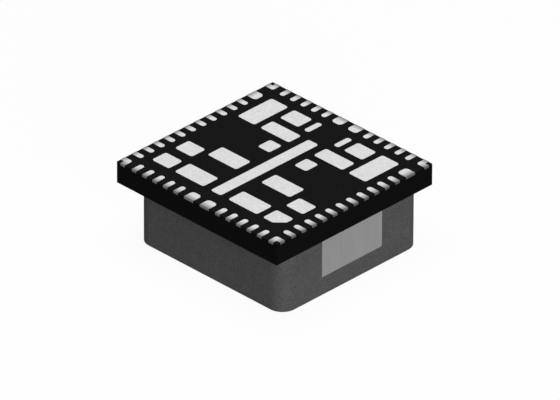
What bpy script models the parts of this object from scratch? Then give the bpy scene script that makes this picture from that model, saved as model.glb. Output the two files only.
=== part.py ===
"""A power module in a quad flat no-lead package, lying with its solder lands up.

The package is a thin slab of moulding compound. Its lead frame shows in the top face as lands,
and round the edge as short leads. A moulded power inductor is soldered under the slab and
carries it. The inductor's flat outer face is z = 0.

+X runs along the package's longer side, +Y along the other side, +Z towards the lands.
"""

import math

import bmesh
import bpy
from mathutils import Matrix, Vector

MM = 0.001

# Fits
SEAT_GAP = 0.01 * MM             # between two pieces that touch
OVERCUT = 0.30 * MM              # how far a cutter runs past the face it opens

# Package
PACKAGE_LENGTH = 12.25 * MM      # along X
PACKAGE_WIDTH = 12.00 * MM       # along Y
PACKAGE_THICKNESS = 1.34 * MM

# Lead frame
FRAME_THICKNESS = 0.15 * MM
FLANGE_THICKNESS = 0.07 * MM     # the half-etched rim that locks a land in the mould
FLANGE_REACH = 0.10 * MM         # how far that rim reaches past the land
LAND_RISE = 0.02 * MM            # how far the lands stand out of the mould
LAND_CORNER_RADIUS = 0.10 * MM
LAND_CORNER_STEPS = 2

# Leads round the edge
LEAD_PITCH = 0.80 * MM
LEAD_WIDTH = 0.34 * MM
LEAD_LENGTH = 0.70 * MM
LEAD_TIP_RADIUS = 0.15 * MM
LEAD_TIP_STEPS = 3
LEAD_SPACING = 0.25 * MM         # least gap between the last lead and a corner lead
WIDE_LEAD_WIDTH = 0.70 * MM
WIDE_LEAD_TIP_RADIUS = 0.22 * MM
WIDE_LEAD_OFFSET = 0.60 * MM     # from the middle of the front and back sides
WIDE_LEAD_SETBACK = 1.70 * MM    # from the back edge, on the left and right sides
WIDE_LEAD_STEP = 1.00 * MM       # from a wide lead to the next lead
CORNER_LEAD_INSET = 0.28 * MM    # from the package edge to a corner lead's arm

# Lands across the width, from the middle to the side
BAR_WIDTH = 0.77 * MM
BAR_CLEARANCE = 0.565 * MM       # from the bar to the inner column of lands
COLUMN_GAP = 0.45 * MM           # between the inner and outer columns
OUTER_LAND_WIDTH = 1.30 * MM
SIDE_MARGIN = 1.225 * MM         # from the outer column to the package edge
NARROW_LAND_WIDTH = 0.375 * MM
NARROW_LAND_GAP = 0.425 * MM
SMALL_LAND_WIDTH = 0.90 * MM

# Lands along the length, from the front edge to the back edge
FRONT_MARGIN = 1.47 * MM
FRONT_WIDE_LENGTH = 1.18 * MM
FRONT_OUTER_LENGTH = 1.07 * MM
MIDDLE_WIDE_LENGTH = 1.14 * MM
MIDDLE_OUTER_LENGTH = 1.07 * MM
SMALL_LAND_LENGTH = 0.98 * MM
BACK_WIDE_LENGTH = 0.97 * MM
BACK_ROW_LENGTH = 1.13 * MM
BACK_MARGIN = 1.31 * MM
INDEX_CHAMFER = 0.55 * MM        # the cut corner that marks the first land

# Gaps between those lands, which are all stretched alike to fill the package
MIDDLE_WIDE_GAP = 1.34 * MM
MIDDLE_OUTER_GAP = 0.69 * MM
SMALL_LAND_GAP = 1.41 * MM
BACK_WIDE_GAP = 0.52 * MM
BACK_ROW_GAP = 0.55 * MM

# Pieces inside the package
DIE_THICKNESS = 0.20 * MM
DIE_LAP = 0.15 * MM              # how far a die reaches over a land at its end
POWER_DIE_LAP = 0.40 * MM        # and over the middle wide land
CLIP_THICKNESS = 0.20 * MM
CLIP_SETBACK = 0.53 * MM         # from each end of the die to the clip's side
CLIP_LAP = 1.60 * MM             # how far the clip reaches over its die
POST_LENGTH = 1.20 * MM          # along X
POST_SETBACK = 0.13 * MM         # from each end of the die to the post's side
CHIP_LENGTH = 1.00 * MM          # ceramic capacitor
CHIP_WIDTH = 0.50 * MM
CHIP_HEIGHT = 0.50 * MM
CHIP_CAP_LENGTH = 0.25 * MM      # metal end of the capacitor
CHIP_CAP_STEP = 0.02 * MM        # how far that end stands out of the ceramic

# Solder between the package and the inductor
SOLDER_THICKNESS = 0.06 * MM
SOLDER_SPREAD = 0.10 * MM

# Inductor body, set in from the package's edges
INDUCTOR_SIDE_INSET = 0.53 * MM
INDUCTOR_FRONT_INSET = 1.00 * MM
INDUCTOR_BACK_INSET = 0.34 * MM
INDUCTOR_HEIGHT = 3.76 * MM
INDUCTOR_CORNER_RADIUS = 0.92 * MM
INDUCTOR_CORNER_STEPS = 6

# Inductor terminals
TERMINAL_WIDTH = 4.63 * MM
TERMINAL_THICKNESS = 0.25 * MM
TERMINAL_RISE = 0.03 * MM        # how far it stands out of the body's side
TERMINAL_EXIT = 0.93 * MM        # height of its underside inside the body
TERMINAL_BEND_RADIUS = 0.35 * MM
TERMINAL_BEND_STEPS = 4
FOOT_LENGTH = 1.90 * MM
TAB_CLEARANCE = 0.10 * MM        # between the coil and a terminal inside the body

# Coil of flat wire, wound on edge
COIL_SIDE_WALL = 1.15 * MM       # least wall from the coil to the body's front and back
COIL_END_WALL = 1.425 * MM       # and to its left and right sides, with the terminals
WIRE_WIDTH = 1.90 * MM
WIRE_THICKNESS = 0.42 * MM
TURN_PITCH = 0.46 * MM
COIL_COVER = 0.30 * MM           # least wall between the coil and a foot
COIL_STEPS = 32                  # steps in one turn
TAIL_WIDTH = 1.60 * MM
TAIL_SETBACK = 0.30 * MM         # from the end of a coil's tail to the terminal's strap

# Heights, from z = 0
PACKAGE_BASE = INDUCTOR_HEIGHT + SOLDER_THICKNESS + 2 * SEAT_GAP

# Heights, from the package's base
FRAME_BASE = PACKAGE_THICKNESS + LAND_RISE - FRAME_THICKNESS
DIE_BASE = FRAME_BASE - SEAT_GAP - DIE_THICKNESS
CLIP_BASE = DIE_BASE - SEAT_GAP - CLIP_THICKNESS
CHIP_BASE = FRAME_BASE - SEAT_GAP - CHIP_HEIGHT
POST_HEIGHT = CLIP_BASE - SEAT_GAP

# Places across the package
SIDE_EDGE = PACKAGE_LENGTH / 2
END_EDGE = PACKAGE_WIDTH / 2
INNER_COLUMN_START = BAR_WIDTH / 2 + BAR_CLEARANCE
OUTER_COLUMN_END = SIDE_EDGE - SIDE_MARGIN
OUTER_COLUMN_START = OUTER_COLUMN_END - OUTER_LAND_WIDTH
INNER_COLUMN_END = OUTER_COLUMN_START - COLUMN_GAP

# Places along the package
COLUMN_MARGINS = FRONT_MARGIN + BACK_MARGIN
COLUMN_LANDS = (FRONT_WIDE_LENGTH + MIDDLE_WIDE_LENGTH + SMALL_LAND_LENGTH + BACK_WIDE_LENGTH
                + BACK_ROW_LENGTH)
COLUMN_GAPS = MIDDLE_WIDE_GAP + SMALL_LAND_GAP + BACK_WIDE_GAP + BACK_ROW_GAP
STRETCH = (PACKAGE_WIDTH - COLUMN_MARGINS - COLUMN_LANDS) / COLUMN_GAPS
FRONT_ROW_START = FRONT_MARGIN - END_EDGE
MIDDLE_WIDE_START = FRONT_ROW_START + FRONT_WIDE_LENGTH + MIDDLE_WIDE_GAP * STRETCH
MIDDLE_WIDE_END = MIDDLE_WIDE_START + MIDDLE_WIDE_LENGTH
FRONT_OUTER_END = FRONT_ROW_START + FRONT_OUTER_LENGTH
MIDDLE_OUTER_START = FRONT_OUTER_END + MIDDLE_OUTER_GAP * STRETCH
BACK_ROW_END = END_EDGE - BACK_MARGIN
BACK_ROW_START = BACK_ROW_END - BACK_ROW_LENGTH
BACK_WIDE_END = BACK_ROW_START - BACK_ROW_GAP * STRETCH
BACK_WIDE_START = BACK_WIDE_END - BACK_WIDE_LENGTH
SMALL_LAND_END = BACK_WIDE_START - BACK_WIDE_GAP * STRETCH
POWER_DIE_START = MIDDLE_WIDE_END - POWER_DIE_LAP
POWER_DIE_END = BACK_WIDE_START + DIE_LAP

# Size and place of the inductor under the package
INDUCTOR_LENGTH = PACKAGE_LENGTH - 2 * INDUCTOR_SIDE_INSET
INDUCTOR_WIDTH = PACKAGE_WIDTH - INDUCTOR_FRONT_INSET - INDUCTOR_BACK_INSET
INDUCTOR_SHIFT = (INDUCTOR_FRONT_INSET - INDUCTOR_BACK_INSET) / 2

# Places in the inductor, from its own centre
COIL_OUTER_RADIUS = min(INDUCTOR_LENGTH / 2 - COIL_END_WALL, INDUCTOR_WIDTH / 2 - COIL_SIDE_WALL)
COIL_INNER_RADIUS = COIL_OUTER_RADIUS - WIRE_WIDTH
TERMINAL_FACE = INDUCTOR_LENGTH / 2 + TERMINAL_RISE
STRAP_INNER = TERMINAL_FACE - TERMINAL_THICKNESS
FOOT_END = TERMINAL_FACE - FOOT_LENGTH
TAB_END = COIL_OUTER_RADIUS + TAB_CLEARANCE
COIL_BASE = TERMINAL_EXIT - SEAT_GAP - WIRE_THICKNESS
COIL_CEILING = INDUCTOR_HEIGHT - TERMINAL_THICKNESS - COIL_COVER
HALF_TURN = 0.5
WHOLE_TURNS = math.floor((COIL_CEILING - COIL_BASE - WIRE_THICKNESS) / TURN_PITCH - HALF_TURN)
TURNS = WHOLE_TURNS + HALF_TURN  # the half turn brings the two ends to opposite sides
COIL_END = COIL_BASE + TURNS * TURN_PITCH

# Rounding of the shading on curved pieces
SMOOTH_ANGLE = math.radians(30)


# Scene and materials

def clear_scene():
    for obj in list(bpy.data.objects):
        bpy.data.objects.remove(obj, do_unlink=True)


def new_collection(name):
    collection = bpy.data.collections.new(name)
    bpy.context.scene.collection.children.link(collection)
    return collection


def principled(name, color, roughness, metallic):
    material = bpy.data.materials.new(name)
    material.use_nodes = True
    shader = material.node_tree.nodes["Principled BSDF"]
    shader.inputs["Base Color"].default_value = (*color, 1.0)
    shader.inputs["Roughness"].default_value = roughness
    shader.inputs["Metallic"].default_value = metallic
    material.diffuse_color = (*color, 1.0)
    return material


def origin_at(name, location, collection):
    empty = bpy.data.objects.new(name, None)
    empty.location = location
    collection.objects.link(empty)
    return empty


# Objects from bmesh

def placed(name, bm, collection, parent, location=(0, 0, 0), angle=0.0, material=None):
    mesh = bpy.data.meshes.new(name)
    bm.to_mesh(mesh)
    bm.free()
    if material:
        mesh.materials.append(material)
    obj = bpy.data.objects.new(name, mesh)
    obj.parent = parent
    obj.location = location
    obj.rotation_euler.z = angle
    collection.objects.link(obj)
    return obj


def cutter(name, bm, collection, parent, location=(0, 0, 0), angle=0.0):
    obj = placed(name, bm, collection, parent, location, angle)
    obj.hide_render = True
    obj.display_type = "WIRE"
    return obj


def combine(obj, collection, operation):
    modifier = obj.modifiers.new(operation.lower(), "BOOLEAN")
    modifier.operation = operation
    modifier.solver = "EXACT"
    modifier.operand_type = "COLLECTION"
    modifier.collection = collection


def smooth(obj):
    obj.data.shade_smooth()
    obj.data.set_sharp_from_angle(angle=SMOOTH_ANGLE)


# Basic forms, each standing on z = 0

def block(size, gap=0.0):
    """A box centred in X and Y, let out by gap on every side."""
    bm = bmesh.new()
    middle = Matrix.Translation((0, 0, size[2] / 2))
    spread = Matrix.Diagonal((size[0] + 2 * gap, size[1] + 2 * gap, size[2] + 2 * gap, 1))
    bmesh.ops.create_cube(bm, size=1.0, matrix=middle @ spread)
    return bm


def upright_edges(bm, wanted):
    """The vertical edges whose middle point passes the test."""
    edges = []
    for edge in bm.edges:
        low, high = (vert.co for vert in edge.verts)
        run = high - low
        if abs(run.z) > run.xy.length and wanted((low + high) / 2):
            edges.append(edge)
    return edges


def round_edges(bm, edges, radius, steps):
    bmesh.ops.bevel(bm, geom=edges, offset=radius, segments=steps, profile=0.5, affect="EDGES",
                    clamp_overlap=True)


def land(width, length, gap=0.0, overcut=0.0, chamfer=0.0):
    """A flange with a smaller face above it, which shows in the top of the package."""
    bm = block((width + 2 * FLANGE_REACH, length + 2 * FLANGE_REACH, FLANGE_THICKNESS), gap)
    crown = max(bm.faces, key=lambda face: face.calc_center_median().z)
    bmesh.ops.inset_region(bm, faces=[crown], thickness=FLANGE_REACH)
    raised = bmesh.ops.extrude_discrete_faces(bm, faces=[crown])["faces"]
    lift = FRAME_THICKNESS + overcut - FLANGE_THICKNESS - gap
    bmesh.ops.translate(bm, vec=(0, 0, lift), verts=raised[0].verts)
    step = FLANGE_THICKNESS + gap
    if chamfer:
        corner = upright_edges(bm, lambda at: at.z > step and at.x > 0 and at.y < 0)
        round_edges(bm, corner, chamfer, 1)
    square = upright_edges(bm, lambda at: at.z > step and not (chamfer and at.x > 0 and at.y < 0))
    round_edges(bm, square, LAND_CORNER_RADIUS + gap, LAND_CORNER_STEPS)
    return bm


def lead(width, tip_radius, gap=0.0, overcut=0.0):
    """A lead whose cut end is on y = 0 and whose rounded tip points along +Y."""
    size = (width, LEAD_LENGTH, FRAME_THICKNESS)
    bm = block(size, gap)
    for vert in bm.verts:
        outer = vert.co.y < 0
        vert.co.y += LEAD_LENGTH / 2
        if outer:
            vert.co.y = -overcut
        if vert.co.z > FRAME_THICKNESS / 2:
            vert.co.z += overcut - (gap if overcut else 0.0)
    tips = upright_edges(bm, lambda at: at.y > LEAD_LENGTH / 2)
    round_edges(bm, tips, tip_radius, LEAD_TIP_STEPS)
    return bm


def extruded(points, base, top):
    """A flat outline drawn as a curve and pulled up from base to top."""
    curve = bpy.data.curves.new("outline", "CURVE")
    curve.dimensions = "2D"
    curve.fill_mode = "BOTH"
    curve.extrude = (top - base) / 2
    spline = curve.splines.new("POLY")
    spline.points.add(len(points) - 1)
    for point, (x, y) in zip(spline.points, points):
        point.co = (x, y, 0, 1)
    spline.use_cyclic_u = True
    guide = bpy.data.objects.new("outline", curve)
    bpy.context.scene.collection.objects.link(guide)
    mesh = bpy.data.meshes.new_from_object(guide.evaluated_get(bpy.context.evaluated_depsgraph_get()))
    bm = bmesh.new()
    bm.from_mesh(mesh)
    bmesh.ops.remove_doubles(bm, verts=bm.verts, dist=SEAT_GAP / 10)
    bmesh.ops.translate(bm, vec=(0, 0, (base + top) / 2), verts=bm.verts)
    bmesh.ops.recalc_face_normals(bm, faces=bm.faces)
    bpy.data.objects.remove(guide)
    bpy.data.curves.remove(curve)
    bpy.data.meshes.remove(mesh)
    return bm


def corner_lead(gap=0.0, overcut=0.0):
    """Two crossed arms round the package's front right corner, which is at the origin."""
    near = CORNER_LEAD_INSET - gap
    far = CORNER_LEAD_INSET + LEAD_WIDTH + gap
    outline = [(-far, -overcut), (-near, -overcut), (-near, near), (overcut, near), (overcut, far),
               (-far, far)]
    bm = extruded(outline, -gap, FRAME_THICKNESS + overcut)
    inner = upright_edges(bm, lambda at: at.x < -LEAD_WIDTH and at.y > LEAD_WIDTH)
    round_edges(bm, inner, LEAD_TIP_RADIUS, LEAD_TIP_STEPS)
    return bm


def spun_section(inner, outer, base, height, turns, pitch):
    """A rectangle carried round Z: a closed ring, or a helix if it has a pitch."""
    bm = bmesh.new()
    corners = [(inner, base), (outer, base), (outer, base + height), (inner, base + height)]
    section = bm.faces.new([bm.verts.new((x, 0, z)) for x, z in corners])
    steps = round(COIL_STEPS * turns)
    rise = Vector((0, 0, pitch / COIL_STEPS))
    geometry = [*section.verts, *section.edges, section] if pitch else [*section.verts, *section.edges]
    if not pitch:
        bmesh.ops.delete(bm, geom=[section], context="FACES_ONLY")
    bmesh.ops.spin(bm, geom=geometry, cent=(0, 0, 0), axis=(0, 0, 1), dvec=rise,
                   angle=2 * math.pi * turns, steps=steps)
    bmesh.ops.remove_doubles(bm, verts=bm.verts, dist=SEAT_GAP / 10)
    bmesh.ops.recalc_face_normals(bm, faces=bm.faces)
    return bm


# Lead frame

def land_layout():
    """Each land of the right-hand half: its name, and its limits in X and in Y."""
    inner = (INNER_COLUMN_START, INNER_COLUMN_END)
    outer = (OUTER_COLUMN_START, OUTER_COLUMN_END)
    narrow_end = INNER_COLUMN_START + NARROW_LAND_WIDTH
    narrow = (INNER_COLUMN_START, narrow_end)
    square = (narrow_end + NARROW_LAND_GAP, INNER_COLUMN_END)
    small = (INNER_COLUMN_START, INNER_COLUMN_START + SMALL_LAND_WIDTH)
    back_row = (BACK_ROW_START, BACK_ROW_END)
    return {
        "back_outer_land": (outer, (BACK_WIDE_START, BACK_ROW_END)),
        "back_square_land": (square, back_row),
        "back_narrow_land": (narrow, back_row),
        "back_wide_land": (inner, (BACK_WIDE_START, BACK_WIDE_END)),
        "small_land": (small, (SMALL_LAND_END - SMALL_LAND_LENGTH, SMALL_LAND_END)),
        "middle_wide_land": (inner, (MIDDLE_WIDE_START, MIDDLE_WIDE_END)),
        "middle_outer_land": (outer, (MIDDLE_OUTER_START, MIDDLE_OUTER_START + MIDDLE_OUTER_LENGTH)),
        "front_wide_land": (inner, (FRONT_ROW_START, FRONT_ROW_START + FRONT_WIDE_LENGTH)),
        "front_outer_land": (outer, (FRONT_ROW_START, FRONT_OUTER_END)),
    }


def add_land(name, x_limits, y_limits, kit, chamfer=0.0):
    width = x_limits[1] - x_limits[0]
    length = y_limits[1] - y_limits[0]
    spot = (sum(x_limits) / 2, sum(y_limits) / 2, FRAME_BASE)
    solid = land(width, length, chamfer=chamfer)
    pocket = land(width, length, SEAT_GAP, OVERCUT, chamfer)
    placed(name, solid, kit.parts, kit.package, spot, material=kit.tinned)
    cutter(name + "_pocket", pocket, kit.pockets, kit.package, spot)


def add_lands(kit):
    for name, (x_limits, y_limits) in land_layout().items():
        mirrored = (-x_limits[1], -x_limits[0])
        first = name == "front_outer_land"
        add_land(name + "_left", mirrored, y_limits, kit)
        add_land(name + "_right", x_limits, y_limits, kit, INDEX_CHAMFER if first else 0.0)
    add_land("centre_bar_land", (-BAR_WIDTH / 2, BAR_WIDTH / 2), (FRONT_ROW_START, BACK_WIDE_END), kit)


def side_spot(side, offset):
    """Where a lead starts on a side, offset along it, and the angle it is turned to."""
    spots = {
        "front": ((offset, -END_EDGE, FRAME_BASE), 0.0),
        "right": ((SIDE_EDGE, offset, FRAME_BASE), math.pi / 2),
        "back": ((offset, END_EDGE, FRAME_BASE), math.pi),
        "left": ((-SIDE_EDGE, offset, FRAME_BASE), -math.pi / 2),
    }
    return spots[side]


def lead_offsets(first, step, limit):
    """Places from first on, a step apart, up to the corner lead at limit from the middle."""
    last = limit - CORNER_LEAD_INSET - LEAD_WIDTH - LEAD_SPACING - LEAD_WIDTH / 2
    count = math.floor((last - first) / step) + 1
    return [first + step * index for index in range(count)]


def add_small_leads(kit):
    """The narrow leads. They are part of the mould's solid, which holds them."""
    half_row = lead_offsets(WIDE_LEAD_OFFSET + WIDE_LEAD_STEP, LEAD_PITCH, SIDE_EDGE)
    long_row = lead_offsets(WIDE_LEAD_SETBACK + WIDE_LEAD_STEP - END_EDGE, LEAD_PITCH, END_EDGE)
    rows = {
        "front": half_row + [-offset for offset in half_row],
        "back": half_row + [-offset for offset in half_row],
        "left": [-offset for offset in long_row],
        "right": [-offset for offset in long_row],
    }
    for side, offsets in rows.items():
        for index, offset in enumerate(offsets):
            spot, angle = side_spot(side, offset)
            name = f"lead_{side}_{index + 1}"
            cutter(name, lead(LEAD_WIDTH, LEAD_TIP_RADIUS), kit.small_leads, kit.package, spot, angle)


def add_wide_leads(kit):
    side_offset = END_EDGE - WIDE_LEAD_SETBACK
    places = {
        "wide_lead_front_left": ("front", -WIDE_LEAD_OFFSET),
        "wide_lead_front_right": ("front", WIDE_LEAD_OFFSET),
        "wide_lead_back_left": ("back", -WIDE_LEAD_OFFSET),
        "wide_lead_back_right": ("back", WIDE_LEAD_OFFSET),
        "wide_lead_left": ("left", side_offset),
        "wide_lead_right": ("right", side_offset),
    }
    for name, (side, offset) in places.items():
        spot, angle = side_spot(side, offset)
        solid = lead(WIDE_LEAD_WIDTH, WIDE_LEAD_TIP_RADIUS)
        pocket = lead(WIDE_LEAD_WIDTH, WIDE_LEAD_TIP_RADIUS, SEAT_GAP, OVERCUT)
        placed(name, solid, kit.parts, kit.package, spot, angle, kit.tinned)
        cutter(name + "_pocket", pocket, kit.pockets, kit.package, spot, angle)


def add_corner_leads(kit):
    corners = {
        "corner_lead_front_right": (SIDE_EDGE, -END_EDGE, 0.0),
        "corner_lead_back_right": (SIDE_EDGE, END_EDGE, math.pi / 2),
        "corner_lead_back_left": (-SIDE_EDGE, END_EDGE, math.pi),
        "corner_lead_front_left": (-SIDE_EDGE, -END_EDGE, -math.pi / 2),
    }
    for name, (x, y, angle) in corners.items():
        spot = (x, y, FRAME_BASE)
        placed(name, corner_lead(), kit.parts, kit.package, spot, angle, kit.tinned)
        cutter(name + "_pocket", corner_lead(SEAT_GAP, OVERCUT), kit.pockets, kit.package, spot, angle)


# Pieces inside the package

def add_inner_block(name, x_limits, y_limits, base, height, material, kit):
    size = (x_limits[1] - x_limits[0], y_limits[1] - y_limits[0], height)
    spot = (sum(x_limits) / 2, sum(y_limits) / 2, base)
    placed(name, block(size), kit.parts, kit.package, spot, material=material)
    cutter(name + "_pocket", block(size, SEAT_GAP), kit.pockets, kit.package, spot)


def add_dies(kit):
    """A power die under the lands of each inner column, and the control die behind the bar."""
    y_limits = (POWER_DIE_START, POWER_DIE_END)
    levels = (DIE_BASE, DIE_THICKNESS)
    for side, x_limits in both_sides((INNER_COLUMN_START, INNER_COLUMN_END)):
        add_inner_block("power_die_" + side, x_limits, y_limits, *levels, kit.silicon, kit)
    reach = INNER_COLUMN_START + NARROW_LAND_WIDTH
    y_limits = (BACK_WIDE_END - DIE_LAP, BACK_ROW_END - DIE_LAP)
    add_inner_block("control_die", (-reach, reach), y_limits, *levels, kit.silicon, kit)


def add_clips_and_posts(kit):
    """A copper clip from each power die, and the post that takes its current to the inductor."""
    foot_middle = (FOOT_END + STRAP_INNER) / 2
    post = (foot_middle - POST_LENGTH / 2, foot_middle + POST_LENGTH / 2)
    clip = (INNER_COLUMN_END - CLIP_LAP, post[1])
    clip_y = (POWER_DIE_START + CLIP_SETBACK, POWER_DIE_END - CLIP_SETBACK)
    post_y = (POWER_DIE_START + POST_SETBACK, POWER_DIE_END - POST_SETBACK)
    joint = (post[1] - post[0] + 2 * SOLDER_SPREAD, post_y[1] - post_y[0] + 2 * SOLDER_SPREAD)
    for side, x_limits in both_sides(clip):
        add_inner_block("clip_" + side, x_limits, clip_y, CLIP_BASE, CLIP_THICKNESS, kit.copper, kit)
    for side, x_limits in both_sides(post):
        add_inner_block("post_" + side, x_limits, post_y, 0.0, POST_HEIGHT, kit.copper, kit)
        layer = block((*joint, SOLDER_THICKNESS))
        spot = (sum(x_limits) / 2, sum(post_y) / 2, INDUCTOR_HEIGHT + SEAT_GAP)
        placed("solder_joint_" + side, layer, kit.parts, None, spot, material=kit.solder)


def both_sides(x_limits):
    return [("left", (-x_limits[1], -x_limits[0])), ("right", x_limits)]


def chip(gap=0.0):
    """A ceramic chip along X, with its two ends left to the metal caps' blocks."""
    slim = 2 * CHIP_CAP_STEP if not gap else 0.0
    bm = block((CHIP_LENGTH - slim, CHIP_WIDTH - slim, CHIP_HEIGHT - slim), gap)
    if slim:
        bmesh.ops.translate(bm, vec=(0, 0, CHIP_CAP_STEP), verts=bm.verts)
    return bm


def add_capacitors(kit):
    """Ceramic capacitors that bridge from land to land."""
    between_columns = (INNER_COLUMN_END + OUTER_COLUMN_START) / 2
    outer_middle = (OUTER_COLUMN_START + OUTER_COLUMN_END) / 2
    places = {
        "back": (between_columns, (BACK_ROW_START + BACK_ROW_END) / 2, 0.0),
        "inner": (between_columns, (BACK_WIDE_START + BACK_WIDE_END) / 2, 0.0),
        "front": (between_columns, (FRONT_ROW_START + FRONT_OUTER_END) / 2, 0.0),
        "outer": (outer_middle, (FRONT_OUTER_END + MIDDLE_OUTER_START) / 2, math.pi / 2),
    }
    for place, (x, y, angle) in places.items():
        for side, sign in (("left", -1), ("right", 1)):
            name = f"capacitor_{place}_{side}"
            spot = (sign * x, y, CHIP_BASE)
            ceramic = placed(name, chip(), kit.parts, kit.package, spot, angle, kit.ceramic)
            ends = new_collection(name + "_ends")
            for end in (-1, 1):
                reach = end * (CHIP_LENGTH - CHIP_CAP_LENGTH) / 2
                offset = Matrix.Rotation(angle, 3, "Z") @ Vector((reach, 0, 0))
                size = (CHIP_CAP_LENGTH, CHIP_WIDTH, CHIP_HEIGHT)
                cutter(f"{name}_end_{end}", block(size), ends, kit.package, Vector(spot) + offset, angle)
            combine(ceramic, ends, "UNION")
            cutter(name + "_pocket", chip(SEAT_GAP), kit.pockets, kit.package, spot, angle)


def add_mould(kit):
    """The slab of moulding compound, with a pocket for each piece and the small leads on it."""
    slab = block((PACKAGE_LENGTH, PACKAGE_WIDTH, PACKAGE_THICKNESS))
    mould = placed("mould_body", slab, kit.parts, kit.package, material=kit.compound)
    combine(mould, kit.pockets, "DIFFERENCE")
    combine(mould, kit.small_leads, "UNION")


# Inductor

def fillet(points, radius, steps):
    """A path through the points with an arc in place of each inner corner."""
    path = [points[0]]
    for before, corner, after in zip(points, points[1:], points[2:]):
        inward = (before - corner).normalized()
        outward = (after - corner).normalized()
        centre = corner + (inward + outward) * radius
        for index in range(steps + 1):
            turn = math.pi / 2 * index / steps
            path.append(centre - outward * radius * math.cos(turn) - inward * radius * math.sin(turn))
    return path + [points[-1]]


def terminal_strip(leg_top, gap):
    """The outer surface of a terminal, let out by gap. A leg is the part that rises to the coil."""
    low = TERMINAL_EXIT - gap
    high = INDUCTOR_HEIGHT + gap
    face = TERMINAL_FACE + gap
    path = [Vector((TAB_END - gap, 0, low)), Vector((face, 0, low)), Vector((face, 0, high)),
            Vector((FOOT_END - gap, 0, high))]
    if leg_top:
        path.insert(0, Vector((TAB_END - gap, 0, leg_top + gap)))
    width = TERMINAL_WIDTH + 2 * gap
    bm = bmesh.new()
    near = [bm.verts.new(point + Vector((0, -width / 2, 0)))
            for point in fillet(path, TERMINAL_BEND_RADIUS + gap, TERMINAL_BEND_STEPS)]
    edges = [bm.edges.new(pair) for pair in zip(near, near[1:])]
    swept = bmesh.ops.extrude_edge_only(bm, edges=edges)["geom"]
    moved = [item for item in swept if isinstance(item, bmesh.types.BMVert)]
    bmesh.ops.translate(bm, vec=(0, width, 0), verts=moved)
    bmesh.ops.recalc_face_normals(bm, faces=bm.faces)
    strap = max(bm.faces, key=lambda face: face.calc_center_median().x)
    if strap.normal.x < 0:
        bmesh.ops.reverse_faces(bm, faces=bm.faces)
    return bm


def thicken(obj, gap=0.0):
    wall = obj.modifiers.new("thickness", "SOLIDIFY")
    wall.thickness = TERMINAL_THICKNESS + 2 * gap
    wall.offset = -1.0
    wall.use_even_offset = True


def add_terminal(side, leg_top, kit):
    """A strap bent round the body's side, with a foot under the package and a tab to the coil."""
    angle = math.pi if side == "left" else 0.0
    name = "terminal_" + side
    strip = terminal_strip(leg_top, 0.0)
    terminal = placed(name, strip, kit.parts, kit.inductor, angle=angle, material=kit.tinned)
    thicken(terminal)
    smooth(terminal)
    room = terminal_strip(leg_top, SEAT_GAP)
    slot = cutter(name + "_slot", room, kit.cavities, kit.inductor, angle=angle)
    thicken(slot, SEAT_GAP)


def cut_slot(name, x_limits, width, z_limits, sign, kit):
    """A slot in the inductor's body for a piece of this outline, with the seat gap round it."""
    size = (x_limits[1] - x_limits[0], width, z_limits[1] - z_limits[0])
    spot = (sign * sum(x_limits) / 2, 0, z_limits[0])
    cutter(name, block(size, SEAT_GAP), kit.cavities, kit.inductor, spot)


def open_terminal_slot(side, sign, kit):
    """Clear what the strip leaves of the body outside the strap and over the foot."""
    outside = TERMINAL_FACE + OVERCUT
    above = INDUCTOR_HEIGHT + OVERCUT
    half = TERMINAL_THICKNESS / 2
    cuts = {
        "strap": ((STRAP_INNER + half, outside), (TERMINAL_EXIT + TERMINAL_BEND_RADIUS, above)),
        "foot": ((FOOT_END, outside), (INDUCTOR_HEIGHT - half, above)),
    }
    for what, (x_limits, z_limits) in cuts.items():
        name = f"{what}_opening_{side}"
        cut_slot(name, x_limits, TERMINAL_WIDTH, z_limits, sign, kit)


def add_coil(kit):
    """Flat wire wound on edge, with a straight tail at each end to meet its terminal."""
    helix = spun_section(COIL_INNER_RADIUS, COIL_OUTER_RADIUS, COIL_BASE, WIRE_THICKNESS, TURNS,
                         TURN_PITCH)
    coil = placed("coil", helix, kit.parts, kit.inductor, material=kit.copper)
    root = (COIL_INNER_RADIUS + COIL_OUTER_RADIUS) / 2
    tail = (root, STRAP_INNER - TAIL_SETBACK)
    tails = new_collection("coil_tails")
    for side, sign, base in (("right", 1, COIL_BASE), ("left", -1, COIL_END)):
        size = (tail[1] - tail[0], TAIL_WIDTH, WIRE_THICKNESS)
        spot = (sign * sum(tail) / 2, 0, base)
        cutter("coil_tail_" + side, block(size), tails, kit.inductor, spot)
        cut_slot("coil_slot_" + side, tail, TAIL_WIDTH, (base, base + WIRE_THICKNESS), sign, kit)
    combine(coil, tails, "UNION")
    smooth(coil)
    height = COIL_END + WIRE_THICKNESS - COIL_BASE + 2 * SEAT_GAP
    room = spun_section(COIL_INNER_RADIUS - SEAT_GAP, COIL_OUTER_RADIUS + SEAT_GAP, COIL_BASE - SEAT_GAP,
                        height, 1, 0.0)
    cutter("coil_room", room, kit.cavities, kit.inductor)


def add_inductor_body(kit):
    """The block of pressed powder round the coil, with its upright corners rounded."""
    bm = block((INDUCTOR_LENGTH, INDUCTOR_WIDTH, INDUCTOR_HEIGHT))
    corners = upright_edges(bm, lambda at: True)
    round_edges(bm, corners, INDUCTOR_CORNER_RADIUS, INDUCTOR_CORNER_STEPS)
    body = placed("inductor_body", bm, kit.parts, kit.inductor, material=kit.powder)
    combine(body, kit.cavities, "DIFFERENCE")
    smooth(body)


def add_inductor(kit):
    leg_top = COIL_END - SEAT_GAP
    for side, sign, leg in (("right", 1, 0.0), ("left", -1, leg_top)):
        add_terminal(side, leg, kit)
        open_terminal_slot(side, sign, kit)
    add_coil(kit)
    add_inductor_body(kit)


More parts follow.
